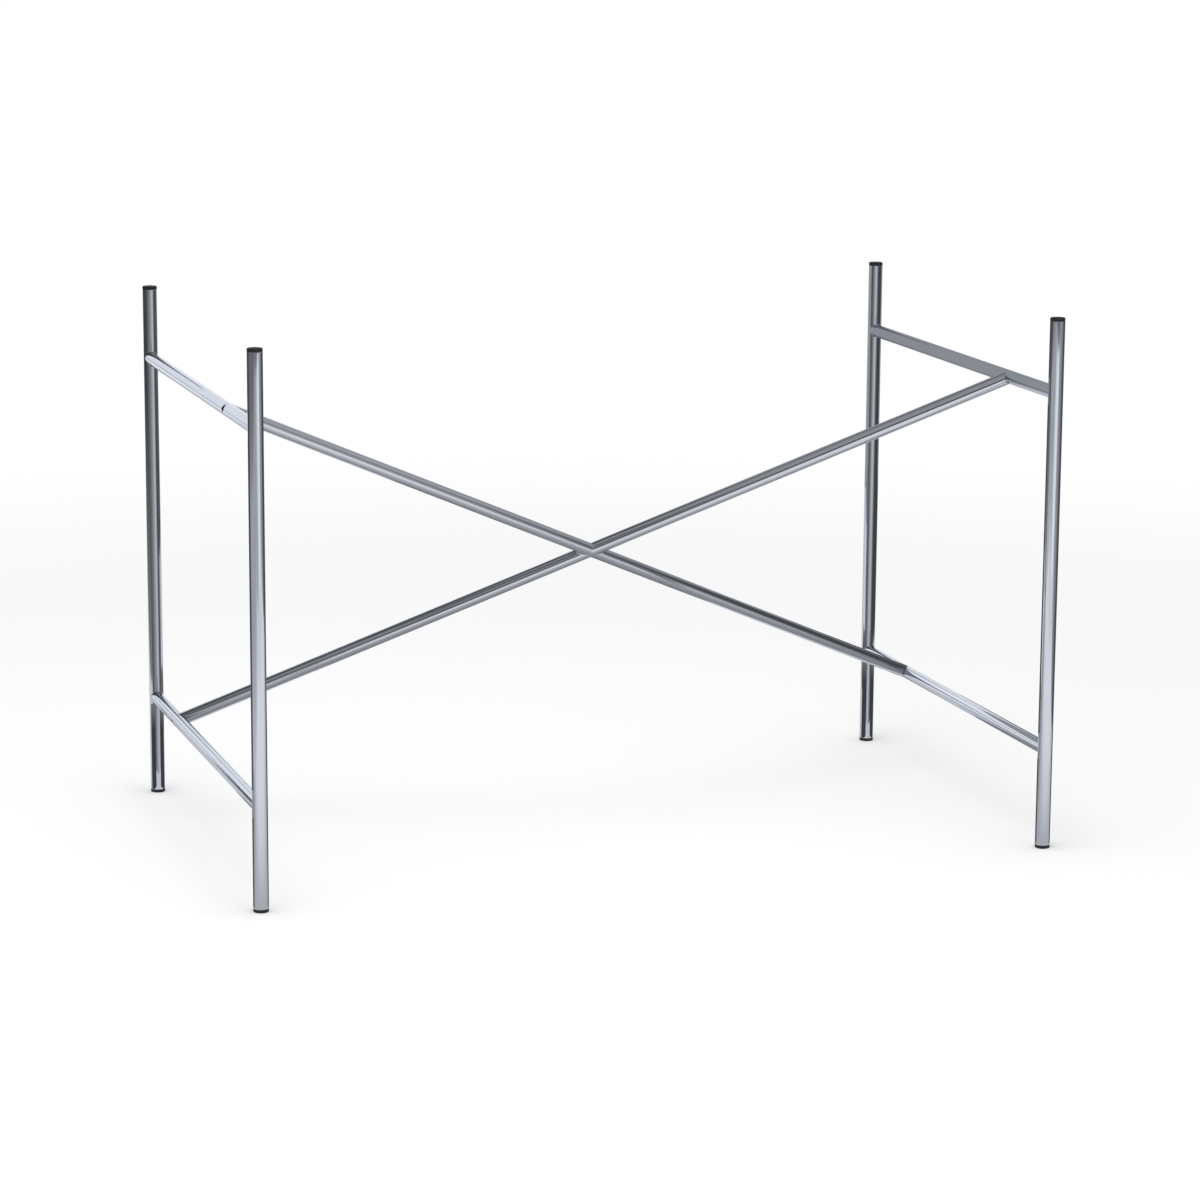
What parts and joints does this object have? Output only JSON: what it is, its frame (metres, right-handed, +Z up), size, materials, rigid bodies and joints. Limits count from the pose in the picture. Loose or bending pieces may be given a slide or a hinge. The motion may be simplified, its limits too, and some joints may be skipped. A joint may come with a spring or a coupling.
{
  "type": "table frame",
  "caption": "Chromed round-tube table frame: welded end frames of legs and cross rails, joined by a sloping X brace screwed to the rails, with black plastic caps and feet.",
  "frame": {"origin": "on the floor under the feet, at the middle of the plan", "axes": "+X along the frame's length, +Y from the front to the rear, +Z up"},
  "size_m": [1.1, 0.66, 0.72],
  "materials": {
    "tube_chrome": "bright chrome plate on drawn steel tube",
    "screw_steel": "plain bright steel screw",
    "inner_steel": "turned steel, not seen",
    "black_plastic": "satin moulded black plastic"
  },
  "bodies": {
    "root": {"front_left_leg": "tube_chrome", "front_left_cap": "black_plastic", "front_left_foot": "black_plastic", "rear_left_leg": "tube_chrome", "rear_left_cap": "black_plastic", "rear_left_foot": "black_plastic", "left_upper_rail": "tube_chrome", "left_upper_bush": "tube_chrome", "left_upper_screw": "screw_steel", "left_upper_brace_plug": "inner_steel", "left_lower_rail": "tube_chrome", "left_lower_bush": "tube_chrome", "left_lower_screw": "screw_steel", "left_lower_brace_plug": "inner_steel", "front_right_leg": "tube_chrome", "front_right_cap": "black_plastic", "front_right_foot": "black_plastic", "rear_right_leg": "tube_chrome", "rear_right_cap": "black_plastic", "rear_right_foot": "black_plastic", "right_upper_rail": "tube_chrome", "right_upper_bush": "tube_chrome", "right_upper_screw": "screw_steel", "right_upper_brace_plug": "inner_steel", "right_lower_rail": "tube_chrome", "right_lower_bush": "tube_chrome", "right_lower_screw": "screw_steel", "right_lower_brace_plug": "inner_steel", "brace_through_tube": "tube_chrome", "brace_upper_half": "tube_chrome", "brace_lower_half": "tube_chrome"}
  },
  "joints": []
}
